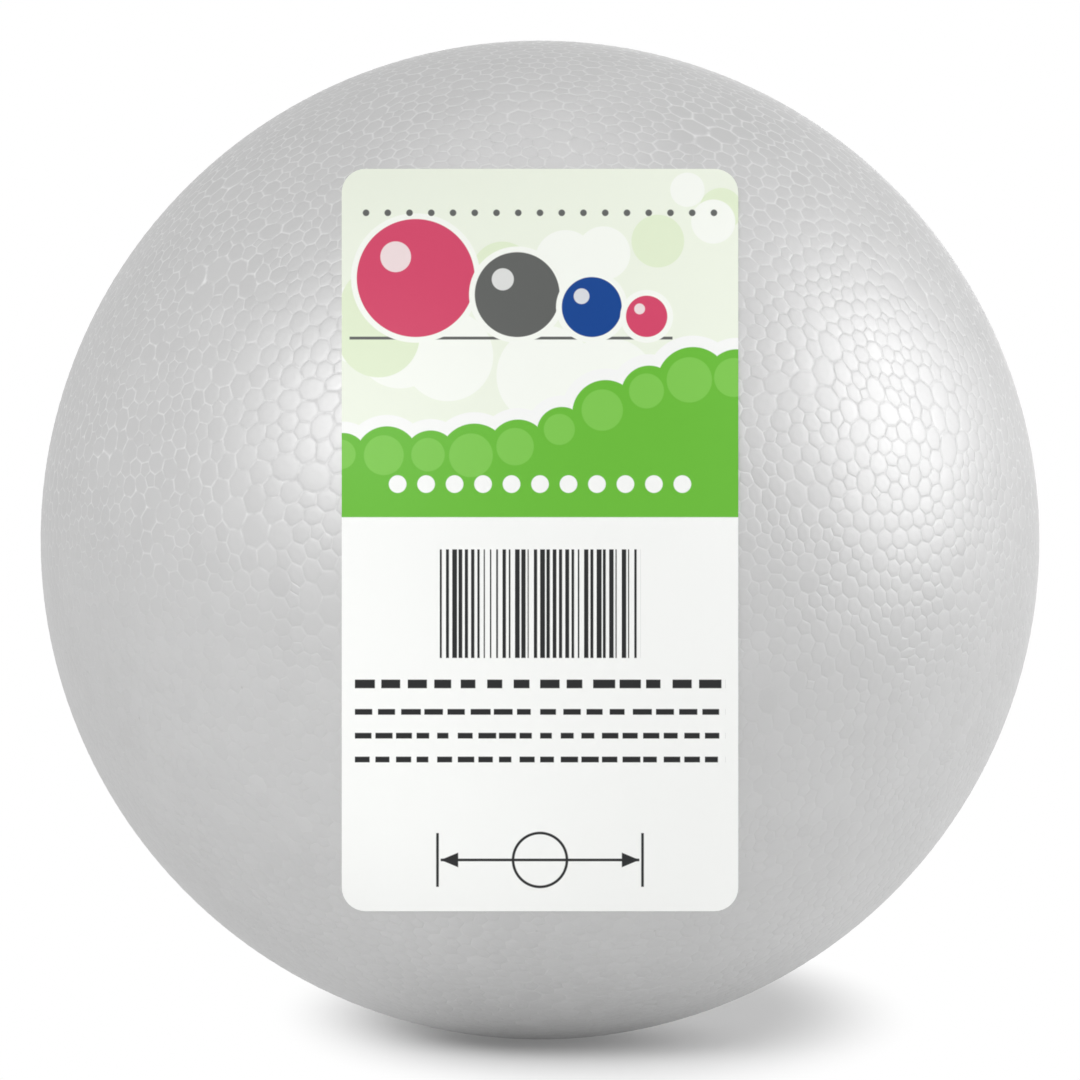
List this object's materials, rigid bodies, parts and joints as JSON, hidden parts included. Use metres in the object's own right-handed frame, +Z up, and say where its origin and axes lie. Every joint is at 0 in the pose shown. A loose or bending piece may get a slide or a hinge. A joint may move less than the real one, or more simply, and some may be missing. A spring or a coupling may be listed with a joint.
{
  "type": "polystyrene ball",
  "caption": "White expanded polystyrene craft ball, moulded from beads, with a rectangular printed label wrapped on its front.",
  "frame": {"origin": "the ball's lowest point, where it touches what it lies on", "axes": "+Z up through the ball's centre, label facing -Y, mould seam in the XZ plane"},
  "size_m": [0.0962, 0.0965, 0.0962],
  "materials": {
    "foam": "moulded expanded beads, semi-matt",
    "label": "satin print on white"
  },
  "bodies": {
    "root": {"foam_ball": "foam", "label": "label"}
  },
  "joints": []
}
